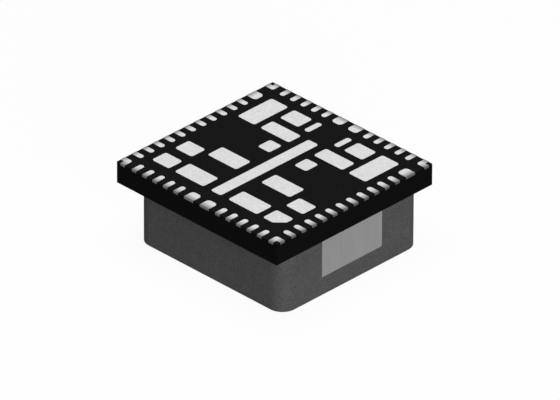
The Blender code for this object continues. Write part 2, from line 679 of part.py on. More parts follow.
class Kit:
    """The collections, parents and materials that the functions share."""

    def __init__(self):
        self.parts = new_collection("power_module")
        self.pockets = new_collection("package_pockets")
        self.small_leads = new_collection("small_leads")
        self.cavities = new_collection("inductor_cavities")
        self.package = origin_at("package_origin", (0, 0, PACKAGE_BASE), self.parts)
        self.inductor = origin_at("inductor_origin", (0, INDUCTOR_SHIFT, 0), self.parts)
        self.compound = principled("moulding_compound", (0.010, 0.010, 0.010), 0.55, 0.0)
        self.tinned = principled("tinned_copper", (0.75, 0.75, 0.76), 0.35, 1.0)
        self.solder = principled("solder", (0.60, 0.60, 0.61), 0.40, 1.0)
        self.copper = principled("copper", (0.72, 0.33, 0.18), 0.35, 1.0)
        self.silicon = principled("silicon", (0.10, 0.11, 0.14), 0.25, 0.0)
        self.ceramic = principled("capacitor_ceramic", (0.42, 0.33, 0.24), 0.60, 0.0)
        self.powder = principled("pressed_powder", (0.07, 0.07, 0.07), 0.70, 0.0)


def main():
    clear_scene()
    kit = Kit()
    add_lands(kit)
    add_wide_leads(kit)
    add_corner_leads(kit)
    add_small_leads(kit)
    add_dies(kit)
    add_clips_and_posts(kit)
    add_capacitors(kit)
    add_mould(kit)
    add_inductor(kit)


main()
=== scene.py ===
# %% [markdown]
# # A power module that lies with its solder lands up
#
# The object is a chip package with an inductor soldered to its other side. The package is a thin
# black slab: a stamped copper lead frame, with the dies and capacitors on it, cast into epoxy. The
# frame shows in the top face as pale tinned lands, and round the edge as short leads. The inductor
# is a block of pressed iron powder with a coil of flat wire inside and a terminal bent round each of
# two sides.
#
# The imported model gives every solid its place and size. This file gives the solids their finish. It
# keeps the solids that are already right, and makes finer ones where an edge or a bend shows.

import math

import bmesh
import bpy
from mathutils import Matrix, Vector


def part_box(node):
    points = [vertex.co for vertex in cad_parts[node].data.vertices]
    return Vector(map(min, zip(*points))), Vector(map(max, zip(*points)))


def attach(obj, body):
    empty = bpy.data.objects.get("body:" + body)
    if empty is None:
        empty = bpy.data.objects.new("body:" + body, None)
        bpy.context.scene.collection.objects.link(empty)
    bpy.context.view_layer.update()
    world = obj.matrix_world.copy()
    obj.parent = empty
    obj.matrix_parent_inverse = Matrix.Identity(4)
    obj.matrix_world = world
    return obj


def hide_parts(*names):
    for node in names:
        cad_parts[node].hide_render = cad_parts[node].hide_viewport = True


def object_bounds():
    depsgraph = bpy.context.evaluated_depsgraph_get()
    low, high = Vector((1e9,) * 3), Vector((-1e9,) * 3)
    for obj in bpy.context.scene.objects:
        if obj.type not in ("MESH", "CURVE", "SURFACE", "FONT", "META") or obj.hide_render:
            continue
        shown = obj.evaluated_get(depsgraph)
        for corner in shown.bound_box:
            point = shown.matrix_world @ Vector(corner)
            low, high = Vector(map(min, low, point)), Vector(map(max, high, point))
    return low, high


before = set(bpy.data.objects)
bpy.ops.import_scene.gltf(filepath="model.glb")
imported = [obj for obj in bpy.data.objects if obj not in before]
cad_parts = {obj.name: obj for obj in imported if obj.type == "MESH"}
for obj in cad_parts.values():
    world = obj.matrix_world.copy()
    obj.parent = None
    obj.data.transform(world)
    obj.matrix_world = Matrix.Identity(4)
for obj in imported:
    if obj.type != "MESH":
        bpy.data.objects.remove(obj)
cad_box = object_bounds()

MM = 0.001
ROOT = "root"
mould_low, mould_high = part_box("mould_body")
SIDE_EDGE = mould_high.x
END_EDGE = mould_high.y
print(len(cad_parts), "nodes, from", [round(x / MM, 3) for x in cad_box[0]],
      "to", [round(x / MM, 3) for x in cad_box[1]], "mm")

# %% [markdown]
# ## Helpers for meshes
#
# Nearly every part of this object is a flat outline with some thickness: a land, a lead, a strap, a
# block. Such a solid can be drawn as a stack of rings. Each ring is the same outline at another
# height, let in a little where an edge is rounded. That keeps the faces few and in order, and the
# corner radius stays a true radius at every height, which a Bevel modifier can't promise on an
# outline with a hollow corner.

# %% An outline with rounded corners
CORNER_STEPS = 6
LEAST_RADIUS = 0.002 * MM        # keeps the points of a sharp corner apart


def rounded_outline(corners, radii, inset=0.0, steps=CORNER_STEPS):
    """Points round an anticlockwise polygon that is let in by inset, with an arc at each corner."""
    corners = [Vector(corner) for corner in corners]
    outline = []
    for before, corner, after, given in zip(corners[-1:] + corners[:-1], corners,
                                            corners[1:] + corners[:1], radii):
        arriving = (corner - before).normalized()
        leaving = (after - corner).normalized()
        bend = math.atan2(arriving.cross(leaving), arriving.dot(leaving))
        side = math.copysign(1.0, bend)
        normal = Vector((-arriving.y, arriving.x))
        next_normal = Vector((-leaving.y, leaving.x))
        moved = corner + (normal + next_normal) * (inset / (1 + normal.dot(next_normal)))
        radius = max(given - side * inset, LEAST_RADIUS)
        centre = moved - arriving * radius * math.tan(abs(bend) / 2) + normal * side * radius
        for step in range(steps + 1):
            spoke = Matrix.Rotation(bend * step / steps, 2) @ (-normal * side * radius)
            outline.append(centre + spoke)
    return outline


square = rounded_outline([(0, 0), (MM, 0), (MM, MM), (0, MM)], [0.1 * MM] * 4)
print("a rounded square has", len(square), "points")

# %% A solid from rings
EDGE_STEPS = 3
SUPPORT = 0.010 * MM             # a narrow strip inside each rounded edge keeps the flat face flat


def lower_edge(base, soft):
    """(inset, height) of the rings that round a solid's lower edge."""
    rings = [(soft + SUPPORT, base)]
    for step in range(EDGE_STEPS + 1):
        angle = math.pi / 2 * step / EDGE_STEPS
        rings.append((soft * (1 - math.sin(angle)), base + soft * (1 - math.cos(angle))))
    return rings


def upper_edge(top, soft):
    """(inset, height) of the rings that round a solid's upper edge."""
    return [(inset, 2 * top - height) for inset, height in reversed(lower_edge(top, soft))]


def lay_flat(x, y, height):
    return (x, y, height)


def solid_from_rings(corners, radii, rings, place=lay_flat, steps=CORNER_STEPS):
    """A closed bmesh: the outline at each inset and height, joined ring to ring and capped."""
    bm = bmesh.new()
    loops = []
    for inset, height in rings:
        outline = rounded_outline(corners, radii, inset, steps)
        loops.append([bm.verts.new(place(point.x, point.y, height)) for point in outline])
    count = len(loops[0])
    for low, high in zip(loops, loops[1:]):
        for index in range(count):
            after = (index + 1) % count
            bm.faces.new((low[index], low[after], high[after], high[index]))
    bm.faces.new(loops[0])
    bm.faces.new(loops[-1])
    bmesh.ops.recalc_face_normals(bm, faces=bm.faces)
    return bm


def rectangle(x_limits, y_limits):
    (x0, x1), (y0, y1) = x_limits, y_limits
    return [(x0, y0), (x1, y0), (x1, y1), (x0, y1)]


print("a rounded edge takes", len(lower_edge(0.0, MM)), "rings")

# %% Objects from meshes
SMOOTH_ANGLE = math.radians(40)
SQUARE_ON = 0.9999               # a face that is this square to an axis is shaded flat
LARGE_FACES_LEAD = 100           # the weight at which the largest face sets the normals round it


def new_piece(name, bm, *materials):
    """An object at the origin, whose place is in its mesh."""
    mesh = bpy.data.meshes.new(name)
    bm.to_mesh(mesh)
    bm.free()
    for material in materials:
        mesh.materials.append(material)
    piece = bpy.data.objects.new(name, mesh)
    bpy.context.scene.collection.objects.link(piece)
    return piece


def shade(piece):
    """Smooth over bends, sharp over corners, and flat on the large faces, so that none is streaked."""
    piece.data.shade_smooth()
    piece.data.set_sharp_from_angle(angle=SMOOTH_ANGLE)
    for face in piece.data.polygons:
        face.use_smooth = max(abs(part) for part in face.normal) < SQUARE_ON
    weights = piece.modifiers.new("flat faces stay flat", "WEIGHTED_NORMAL")
    weights.weight = LARGE_FACES_LEAD
    weights.keep_sharp = True


def evaluated_mesh(obj, name):
    """The mesh that the object's modifiers make, as plain mesh data."""
    graph = bpy.context.evaluated_depsgraph_get()
    mesh = bpy.data.meshes.new_from_object(obj.evaluated_get(graph))
    mesh.name = name
    return mesh


def report(piece):
    triangles = sum(len(face.vertices) - 2 for face in piece.data.polygons)
    print(f"{piece.name}: {triangles} triangles")


def settle(piece, slot, *nodes):
    """Shades a finished piece and ties it to the frame, in place of these nodes."""
    shade(piece)
    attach(piece, ROOT)
    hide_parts(*nodes)
    report(piece)


# %% [markdown]
# ## Helpers for finishes
#
# Every finish here is procedural and lies on Object coordinates. All the pieces sit at the origin
# with their place in the mesh, so one Mapping node with a scale of 1000 turns metres into
# millimetres, and each pattern can then be given a size that means something: so many grains to
# the millimetre.

# %% A finish with its pattern in millimetres
NOISE_LOW = 0.25                 # a noise seldom leaves the stretch between these two
NOISE_HIGH = 0.75


class Finish:
    """A Principled material and the nodes that drive it."""

    def __init__(self, name, roughness, metallic=0.0, specular=0.5):
        self.material = bpy.data.materials.new(name)
        self.material.use_nodes = True
        self.tree = self.material.node_tree
        self.shader = self.tree.nodes["Principled BSDF"]
        self.shader.inputs["Roughness"].default_value = roughness
        self.shader.inputs["Metallic"].default_value = metallic
        self.shader.inputs["Specular IOR Level"].default_value = specular
        self.coordinates = self.node("ShaderNodeTexCoord").outputs["Object"]

    def node(self, kind, settings=None, **inputs):
        """A node with its settings, and its inputs as values or as another node's output."""
        made = self.tree.nodes.new(kind)
        for name, value in (settings or {}).items():
            setattr(made, name, value)
        for name, value in inputs.items():
            socket = made.inputs[name.replace("_", " ")]
            if isinstance(value, bpy.types.NodeSocket):
                self.tree.links.new(value, socket)
            else:
                socket.default_value = value
        return made

    def per_mm(self, x, y=None, z=None):
        """Coordinates in which a pattern repeats so many times in a millimetre along each axis."""
        scale = [value / MM for value in (x, x if y is None else y, x if z is None else z)]
        return self.node("ShaderNodeMapping", Vector=self.coordinates, Scale=scale).outputs["Vector"]

    def noise(self, coordinates, detail=3.0, roughness=0.6):
        made = self.node("ShaderNodeTexNoise", Vector=coordinates, Scale=1.0, Detail=detail,
                         Roughness=roughness)
        return made.outputs["Fac"]

    def cells(self, coordinates):
        """A grain of small facets, each with a level of its own from 0 to 1."""
        made = self.node("ShaderNodeTexVoronoi", {"feature": "F1"}, Vector=coordinates, Scale=1.0)
        split = self.node("ShaderNodeSeparateColor", Color=made.outputs["Color"])
        return split.outputs["Red"]

    def spread(self, factor, low, high, start=NOISE_LOW, end=NOISE_HIGH):
        """The factor carried from start..end to low..high."""
        made = self.node("ShaderNodeMapRange", Value=factor, From_Min=start, From_Max=end, To_Min=low,
                         To_Max=high)
        return made.outputs["Result"]

    def sum(self, first, second, share=0.5):
        """A blend of two factors."""
        made = self.node("ShaderNodeMix", {"data_type": "FLOAT"}, Factor=share, A=first, B=second)
        return made.outputs["Result"]

    def tint(self, factor, dark, light):
        """Sets the base colour, from dark where the factor is low to light where it is high."""
        ramp = self.node("ShaderNodeValToRGB", Fac=factor)
        places = (NOISE_LOW, NOISE_HIGH)
        for element, place, color in zip(ramp.color_ramp.elements, places, (dark, light)):
            element.position = place
            element.color = (*color, 1.0)
        self.tree.links.new(ramp.outputs["Color"], self.shader.inputs["Base Color"])

    def paint_edge_shade(self, reach, share):
        """Darkens the base colour towards the package's four sides, to this share at the very edge, as
        painted shade.
        """
        split = self.node("ShaderNodeSeparateXYZ", Vector=self.coordinates)
        edges = []
        for axis, edge in (("X", SIDE_EDGE), ("Y", END_EDGE)):
            away = self.node("ShaderNodeMath", {"operation": "ABSOLUTE"}, Value=split.outputs[axis])
            left = self.node("ShaderNodeMath", {"operation": "SUBTRACT"})
            left.inputs[0].default_value = edge
            self.tree.links.new(away.outputs[0], left.inputs[1])
            edges.append(left.outputs[0])
        nearest = self.node("ShaderNodeMath", {"operation": "MINIMUM"})
        for socket, edge in zip(nearest.inputs, edges):
            self.tree.links.new(edge, socket)
        level = self.spread(nearest.outputs[0], share, 1.0, 0.0, reach)
        color = self.shader.inputs["Base Color"]
        before = color.links[0].from_socket
        scaled = self.node("ShaderNodeVectorMath", {"operation": "SCALE"}, Scale=level)
        self.tree.links.new(before, scaled.inputs[0])
        self.tree.links.new(scaled.outputs["Vector"], color)

    def roughen(self, factor, low, high):
        """Sets the roughness, from low to high with the factor."""
        level = self.spread(factor, low, high)
        self.tree.links.new(level, self.shader.inputs["Roughness"])

    def bump(self, height, depth, strength=1.0):
        """Relief whose full height is depth, in metres."""
        made = self.node("ShaderNodeBump", Height=height, Distance=depth, Strength=strength)
        self.tree.links.new(made.outputs["Normal"], self.shader.inputs["Normal"])


def grey(level):
    return (level, level, level)


# %% [markdown]
# ## Finish: moulding compound
#
# The package is cast in epoxy that is loaded with silica and blackened with carbon. It is matt, and
# close to black: it sends back about one per cent of the light. The moulded face has a fine even
# grain from the tool. The four sides are different, because the packages are cast as a sheet and
# sawn apart, and the blade leaves fine lines along the cut. A second finish gives them those lines,
# as noise that is drawn out along the side and crowded in height. Its colour is also darker than the
# moulded face's, and that is painted shade on the upright sides.

# %% The two faces of the moulding compound
def moulding_compound():
    finish = Finish("moulding_compound", 0.75, specular=0.015)
    grain = finish.cells(finish.per_mm(22))
    cloud = finish.noise(finish.per_mm(1.3), detail=4.0)
    finish.tint(finish.sum(grain, cloud, 0.6), grey(0.0054), grey(0.0110))
    finish.roughen(cloud, 0.68, 0.86)
    finish.bump(finish.noise(finish.per_mm(16), detail=4.0), 0.004 * MM, 0.6)
    return finish.material


def sawn_compound_painted_shade():
    finish = Finish("sawn_compound_painted_shade", 0.70, specular=0.015)
    lines = finish.noise(finish.per_mm(0.4, 0.4, 10), detail=6.0, roughness=0.75)
    grain = finish.cells(finish.per_mm(20))
    # The saw lines are real; the darker range than the moulded face's is painted shade on the upright
    # sides.
    finish.tint(finish.sum(lines, grain, 0.25), grey(0.0016), grey(0.0062))
    finish.roughen(lines, 0.60, 0.82)
    finish.bump(lines, 0.004 * MM, 0.5)
    return finish.material


MOULDED = moulding_compound()
SAWN_PAINTED_SHADE = sawn_compound_painted_shade()
print("compound:", MOULDED.name, "and", SAWN_PAINTED_SHADE.name)

# %% [markdown]
# ## Finish: matt tin on the lands and leads
#
# The lands are copper under a few thousandths of a millimetre of electroplated tin. The plating is
# matt, because it grows as small crystals that face all ways, and it looks nearly white. A Voronoi
# texture gives each crystal a level of its own. Slow noise over it is the uneven plating. The saw
# goes through the leads and leaves bare copper alloy at each end. That end is painted a dull dark
# grey as shade of those upright faces. The tin is darkened over the last 0.4 mm before the cut, and
# that is painted shade too. It follows the four cuts, so it is worked out from the distance to the
# nearest of the package's sides, and no lead needs a painted shade of its own.

# %% Tin, and the sawn end of a lead
# The painted shade on the tin: how far in from the package's sides it reaches, and how much brightness
# the tin keeps at the cut.
TIN_PAINTED_SHADE_REACH = 0.40 * MM
TIN_PAINTED_SHADE_DEPTH = 0.27           # share of its brightness that the tin keeps at the cut


def matt_tin():
    finish = Finish("matt_tin", 0.46, metallic=1.0)
    crystals = finish.cells(finish.per_mm(14))
    plating = finish.noise(finish.per_mm(2.2), detail=4.0)
    finish.tint(finish.sum(crystals, plating, 0.55), grey(0.65), grey(0.80))
    # Painted shade: the tin darkens towards the package's four sides.
    finish.paint_edge_shade(TIN_PAINTED_SHADE_REACH, TIN_PAINTED_SHADE_DEPTH)
    finish.roughen(finish.sum(crystals, plating, 0.5), 0.36, 0.50)
    finish.bump(finish.sum(finish.noise(finish.per_mm(12), detail=3.0), plating, 0.4), 0.005 * MM, 0.5)
    return finish.material


def sawn_lead_painted_shade():
    finish = Finish("sawn_lead_painted_shade", 0.50, metallic=1.0)
    lines = finish.noise(finish.per_mm(2, 2, 40), detail=4.0)
    # The dull dark grey of the cut end is painted shade of these upright faces.
    finish.tint(lines, (0.10, 0.09, 0.08), (0.17, 0.16, 0.15))
    finish.roughen(lines, 0.42, 0.60)
    finish.bump(lines, 0.003 * MM, 0.6)
    return finish.material


TIN = matt_tin()
SAWN_LEAD_PAINTED_SHADE = sawn_lead_painted_shade()
print("lead frame:", TIN.name, "and", SAWN_LEAD_PAINTED_SHADE.name)

# %% [markdown]
# ## Finish: pressed powder
#
# The inductor's block is iron powder in a resin, pressed hard round the coil and cured. Its face is
# an even dark grey, rough to the touch, with grains of about a twentieth of a millimetre. Two sizes
# of cell make the grain: most of the block is the fine one, and a few larger grains catch the light.

# %% Pressed powder
def pressed_powder():
    finish = Finish("pressed_powder", 0.80, specular=0.15)
    fine = finish.cells(finish.per_mm(19))
    coarse = finish.cells(finish.per_mm(8))
    cloud = finish.noise(finish.per_mm(0.7), detail=5.0)
    grain = finish.sum(fine, coarse, 0.3)
    finish.tint(finish.sum(grain, cloud, 0.45), grey(0.080), grey(0.133))
    finish.roughen(cloud, 0.72, 0.90)
    finish.bump(finish.sum(grain, finish.noise(finish.per_mm(10), detail=4.0), 0.5), 0.006 * MM, 0.6)
    return finish.material


POWDER = pressed_powder()
print("inductor:", POWDER.name)

# %% [markdown]
# ## Finish: the terminals
#
# The inductor's terminals are cut from rolled strip and bent after plating. Their tin is duller than
# the lands', and its grey is darkened further as painted shade of these upright faces. It keeps the
# direction of rolling as very faint lines up the strap.

# %% Rolled and tinned strip
def rolled_strip_painted_shade():
    finish = Finish("rolled_strip_painted_shade", 0.52, metallic=1.0)
    lines = finish.noise(finish.per_mm(9, 9, 0.35), detail=4.0)
    plating = finish.noise(finish.per_mm(1.1), detail=4.0)
    # This grey is partly the duller tin and partly painted shade of the strap's upright faces.
    finish.tint(finish.sum(lines, plating, 0.5), grey(0.256), grey(0.353))
    finish.roughen(plating, 0.46, 0.60)
    finish.bump(finish.sum(lines, finish.noise(finish.per_mm(14)), 0.5), 0.003 * MM, 0.5)
    return finish.material


STRIP_PAINTED_SHADE = rolled_strip_painted_shade()
print("terminals:", STRIP_PAINTED_SHADE.name)

# %% [markdown]
# ## Finishes inside the package
#
# The pieces in the mould can't be seen, but whoever takes the package apart should still find them
# right: copper with its mill lines, silicon with the faint grid of its circuit, solder that froze
# with a crystalline skin, and the tan ceramic of the capacitors.

# %% Copper, silicon, solder and ceramic
def copper():
    finish = Finish("copper", 0.36, metallic=1.0)
    lines = finish.noise(finish.per_mm(1, 18, 18), detail=3.0)
    stain = finish.noise(finish.per_mm(1.6), detail=4.0)
    finish.tint(finish.sum(lines, stain, 0.5), (0.60, 0.25, 0.13), (0.83, 0.42, 0.26))
    finish.roughen(stain, 0.28, 0.46)
    finish.bump(lines, 0.002 * MM, 0.5)
    return finish.material


def silicon():
    finish = Finish("silicon", 0.22, specular=0.7)
    blocks = finish.node("ShaderNodeTexVoronoi", {"feature": "F1", "distance": "CHEBYCHEV"},
                         Vector=finish.per_mm(5), Scale=1.0, Randomness=0.55)
    split = finish.node("ShaderNodeSeparateColor", Color=blocks.outputs["Color"])
    finish.tint(split.outputs["Green"], (0.050, 0.055, 0.085), (0.130, 0.140, 0.170))
    finish.roughen(finish.noise(finish.per_mm(3)), 0.16, 0.30)
    return finish.material


def solder():
    finish = Finish("solder", 0.42, metallic=1.0)
    crystals = finish.cells(finish.per_mm(7))
    finish.tint(crystals, grey(0.46), grey(0.62))
    finish.roughen(finish.noise(finish.per_mm(4)), 0.34, 0.52)
    finish.bump(finish.noise(finish.per_mm(9), detail=3.0), 0.004 * MM, 0.5)
    return finish.material


def capacitor_ceramic():
    finish = Finish("capacitor_ceramic", 0.55, specular=0.4)
    grain = finish.noise(finish.per_mm(18), detail=4.0)
    finish.tint(grain, (0.34, 0.24, 0.16), (0.46, 0.35, 0.25))
    finish.roughen(grain, 0.48, 0.66)
    finish.bump(grain, 0.002 * MM, 0.5)
    return finish.material


# %% The hidden pieces take their finish
COPPER = copper()
SILICON = silicon()
SOLDER = solder()
CERAMIC = capacitor_ceramic()
inner_finishes = {"power_die": SILICON, "control_die": SILICON, "clip": COPPER, "post": COPPER,
                  "coil": COPPER, "solder_joint": SOLDER, "capacitor": CERAMIC}
for node_name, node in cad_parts.items():
    for prefix, material in inner_finishes.items():
        if node_name.startswith(prefix):
            node.data.materials.clear()
            node.data.materials.append(material)
            print(node_name, "is", material.name)

# %% [markdown]
# ## The lands
#
# A land is the thick middle of a stepped plate. The thin flange round it lies in the mould and holds
# it down, and only the middle comes to the surface. Etching leaves its corners round and its upper
# edge soft. The solid already has the right outline, but its upper edge is sharp and its corners are
# coarse, so each land is made again from its box: two rings for the flange, and then the land.

# %% Sizes of the lead frame
FLANGE_THICKNESS = 0.07 * MM
FLANGE_REACH = 0.10 * MM
LAND_CORNER_RADIUS = 0.15 * MM
INDEX_LAND = "front_outer_land_right"
INDEX_CHAMFER = 0.55 * MM        # the corner cut off it marks the package's first lead
SOFT_EDGE = 0.022 * MM           # rounding of a land's or lead's upper edge


def land_outline(node_name):
    """The corners of the land inside its flange. The index land has one of them cut off."""
    low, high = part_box(node_name)
    x_limits = (low.x + FLANGE_REACH, high.x - FLANGE_REACH)
    y_limits = (low.y + FLANGE_REACH, high.y - FLANGE_REACH)
    corners = rectangle(x_limits, y_limits)
    if node_name == INDEX_LAND:
        x, y = corners[1]
        corners[1:2] = [(x - INDEX_CHAMFER, y), (x, y + INDEX_CHAMFER)]
    return corners


def make_land(node_name):
    low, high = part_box(node_name)
    corners = land_outline(node_name)
    step = low.z + FLANGE_THICKNESS
    rings = [(-FLANGE_REACH, low.z), (-FLANGE_REACH, step), (0.0, step)]
    radii = [LAND_CORNER_RADIUS] * len(corners)
    bm = solid_from_rings(corners, radii, rings + upper_edge(high.z, SOFT_EDGE))
    settle(new_piece("tinned_" + node_name, bm, TIN), "tinned_copper", node_name)


land_names = sorted(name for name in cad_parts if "_land" in name)
for name in land_names:
    make_land(name)

# %% [markdown]
# ## The leads round the edge
#
# The leads are fingers of the same frame. They run in rows on one pitch, with the inner end rounded
# by the etch and the outer end cut off flush with the package's side by the saw. Forty-two alike are
# work for Geometry Nodes. The rows are only points, each with the turn that faces it inwards. The
# node tree draws one lead, as a filled curve that is pulled up and softened at the top, and sets a
# copy on every point. The same tree makes the wide leads, and the holes that the narrow ones need in
# the mould, from other sizes at its inputs.

# %% A small helper for building node trees
class Tree:
    """A Geometry Nodes group with named inputs."""

    def __init__(self, name):
        self.group = bpy.data.node_groups.new(name, "GeometryNodeTree")
        self.group.interface.new_socket("Geometry", in_out="INPUT", socket_type="NodeSocketGeometry")
        self.group.interface.new_socket("Geometry", in_out="OUTPUT", socket_type="NodeSocketGeometry")
        self.given = self.group.nodes.new("NodeGroupInput")
        self.result = self.group.nodes.new("NodeGroupOutput")

    def input(self, name, kind="NodeSocketFloat"):
        self.group.interface.new_socket(name, in_out="INPUT", socket_type=kind)
        return self.given.outputs[name]

    def node(self, kind, settings=None, **inputs):
        made = self.group.nodes.new(kind)
        for name, value in (settings or {}).items():
            setattr(made, name, value)
        for name, value in inputs.items():
            self.feed(made.inputs[name.replace("_", " ")], value)
        return made

    def feed(self, socket, value):
        if isinstance(value, bpy.types.NodeSocket):
            self.group.links.new(value, socket)
        else:
            socket.default_value = value

    def math(self, operation, *values):
        made = self.group.nodes.new("ShaderNodeMath")
        made.operation = operation
        for socket, value in zip(made.inputs, values):
            self.feed(socket, value)
        return made.outputs[0]

    def vector(self, x=0.0, y=0.0, z=0.0):
        return self.node("ShaderNodeCombineXYZ", X=x, Y=y, Z=z).outputs["Vector"]

    def vector_math(self, operation, *values):
        made = self.group.nodes.new("ShaderNodeVectorMath")
        made.operation = operation
        for socket, value in zip(made.inputs, values):
            self.feed(socket, value)
        return made.outputs["Vector"]

    def finish(self, geometry):
        self.group.links.new(geometry, self.result.inputs["Geometry"])
        return self.group


def run_tree(name, base_mesh, group, values):
    """The tree's result on a mesh, with these inputs, as a plain mesh object of that name."""
    holder = bpy.data.objects.new(name, base_mesh)
    bpy.context.scene.collection.objects.link(holder)
    modifier = holder.modifiers.new("tree", "NODES")
    modifier.node_group = group
    for item in group.interface.items_tree:
        if item.item_type == "SOCKET" and item.in_out == "INPUT" and item.name in values:
            modifier[item.identifier] = values[item.name]
    mesh = evaluated_mesh(holder, name)
    holder.modifiers.clear()
    holder.data = mesh
    return holder


# %% The steps that shape one lead
TIP_STEPS = 6


def lead_face(tree, width, run, middle, tip):
    """The lead's outline, filled. It runs along Y, and its two corners at the tip are rounded."""
    sheet = tree.node("GeometryNodeCurvePrimitiveQuadrilateral", Width=width, Height=run)
    outline = tree.node("GeometryNodeTransform", Geometry=sheet.outputs["Curve"],
                        Translation=tree.vector(y=middle)).outputs["Geometry"]
    here = tree.node("GeometryNodeInputPosition").outputs["Position"]
    along = tree.node("ShaderNodeSeparateXYZ", Vector=here).outputs["Y"]
    at_tip = tree.math("GREATER_THAN", along, middle)
    rounded = tree.node("GeometryNodeFilletCurve", {"mode": "POLY"}, Curve=outline, Count=TIP_STEPS,
                        Radius=tree.math("MULTIPLY", tip, at_tip)).outputs["Curve"]
    return tree.node("GeometryNodeFillCurve", {"mode": "NGONS"}, Curve=rounded).outputs["Mesh"]


def pull_up(tree, geometry, rise, selection=None):
    """The face of the geometry pulled up by rise: the mesh, and which face is on top."""
    up = tree.vector(z=1.0)
    made = tree.node("GeometryNodeExtrudeMesh", {"mode": "FACES"}, Mesh=geometry, Offset=up,
                     Offset_Scale=rise, Individual=False)
    if selection is not None:
        tree.feed(made.inputs["Selection"], selection)
    return made.outputs["Mesh"], made.outputs["Top"]


def let_in(tree, geometry, top, width, run, middle, soft, before, after):
    """Draws the top face in from one inset to the next. Both are shares of the soft edge."""
    ratios = []
    for size in (width, run):
        was = tree.math("MULTIPLY_ADD", soft, -2 * before, size)
        now = tree.math("MULTIPLY_ADD", soft, -2 * after, size)
        ratios.append(tree.math("DIVIDE", now, was))
    centre = tree.vector(y=middle)
    here = tree.node("GeometryNodeInputPosition").outputs["Position"]
    arm = tree.vector_math("SUBTRACT", here, centre)
    scaled = tree.vector_math("MULTIPLY", arm, tree.vector(*ratios, 1.0))
    moved = tree.vector_math("ADD", scaled, centre)
    return tree.node("GeometryNodeSetPosition", Geometry=geometry, Selection=top,
                     Position=moved).outputs["Geometry"]


def soften(tree, solid, top, width, run, middle, soft):
    """Rounds the upper edge: each step pulls the top up a little and draws it in a little."""
    before = 0.0
    for step in range(EDGE_STEPS):
        low, high = (math.pi / 2 * (step + end) / EDGE_STEPS for end in (0, 1))
        after = 1 - math.cos(high)
        rise = tree.math("MULTIPLY", soft, math.sin(high) - math.sin(low))
        solid, top = pull_up(tree, solid, rise, top)
        solid = let_in(tree, solid, top, width, run, middle, soft, before, after)
        before = after
    return solid


# %% The tree that sets a lead on each point
MERGE = 0.0001 * MM              # points that are closer than this become one
CUT_FACING = -0.9                # a face whose normal has a Y below this is the cut end


def closed_lead(tree, solid, face):
    """The solid with its underside put back, and with its cut end marked by an attribute."""
    underside = tree.node("GeometryNodeFlipFaces", Mesh=face).outputs["Mesh"]
    both = tree.node("GeometryNodeJoinGeometry")
    for part in (solid, underside):
        tree.group.links.new(part, both.inputs["Geometry"])
    closed = tree.node("GeometryNodeMergeByDistance", Geometry=both.outputs["Geometry"], Distance=MERGE)
    outward = tree.node("GeometryNodeInputNormal").outputs["Normal"]
    facing = tree.node("ShaderNodeSeparateXYZ", Vector=outward).outputs["Y"]
    marked = tree.node("GeometryNodeStoreNamedAttribute", {"data_type": "BOOLEAN", "domain": "FACE"},
                       Geometry=closed.outputs["Geometry"], Name="cut_end",
                       Value=tree.math("LESS_THAN", facing, CUT_FACING))
    return marked.outputs["Geometry"]


def on_each_point(tree, lead, plating, bare):
    """A real copy of the lead on each point, turned as the point says, with its two materials."""
    turn = tree.node("GeometryNodeInputNamedAttribute", Name="turn").outputs["Attribute"]
    turned = tree.node("FunctionNodeEulerToRotation", Euler=tree.vector(z=turn))
    placed = tree.node("GeometryNodeInstanceOnPoints", Points=tree.given.outputs["Geometry"],
                       Instance=lead, Rotation=turned.outputs["Rotation"])
    real = tree.node("GeometryNodeRealizeInstances", Geometry=placed.outputs["Instances"])
    plated = tree.node("GeometryNodeSetMaterial", Geometry=real.outputs["Geometry"], Material=plating)
    ends = tree.node("GeometryNodeInputNamedAttribute", {"data_type": "BOOLEAN"}, Name="cut_end")
    finished = tree.node("GeometryNodeSetMaterial", Geometry=plated.outputs["Geometry"],
                         Selection=ends.outputs["Attribute"], Material=bare)
    return finished.outputs["Geometry"]


def lead_tree():
    tree = Tree("lead_on_each_point")
    width = tree.input("Width")
    length = tree.input("Length")
    height = tree.input("Height")
    tip = tree.input("Tip Radius")
    soft = tree.input("Soft Edge")
    overcut = tree.input("Overcut")
    plating = tree.input("Plating", "NodeSocketMaterial")
    bare = tree.input("Cut End", "NodeSocketMaterial")

    run = tree.math("ADD", length, overcut)
    middle = tree.math("MULTIPLY_ADD", run, 0.5, tree.math("MULTIPLY", overcut, -1.0))
    face = lead_face(tree, width, run, middle, tip)
    solid, top = pull_up(tree, face, tree.math("SUBTRACT", height, soft))
    solid = soften(tree, solid, top, width, run, middle, soft)
    lead = closed_lead(tree, solid, face)
    return tree.finish(on_each_point(tree, lead, plating, bare))


LEAD_TREE = lead_tree()
print(LEAD_TREE.name, "has", len(LEAD_TREE.nodes), "nodes")

# %% Where the leads are
FRAME_THICKNESS = 0.15 * MM
LAND_RISE = 0.02 * MM
LEAD_PITCH = 0.80 * MM
LEAD_WIDTH = 0.34 * MM
LEAD_LENGTH = 0.70 * MM
LEAD_TIP_RADIUS = 0.15 * MM
LEADS_IN_HALF_ROW = 5            # on the front and the back, on each side of the wide leads
LEADS_IN_LONG_ROW = 11           # on the left and the right
WIDE_LEAD_WIDTH = 0.70 * MM
WIDE_LEAD_TIP_RADIUS = 0.22 * MM
WIDE_LEAD_OFFSET = 0.60 * MM
WIDE_LEAD_SETBACK = 1.70 * MM
WIDE_LEAD_STEP = 1.00 * MM

LEAD_TOP = mould_high.z
LEAD_BASE = LEAD_TOP - FRAME_THICKNESS
MOULD_TOP = LEAD_TOP - LAND_RISE


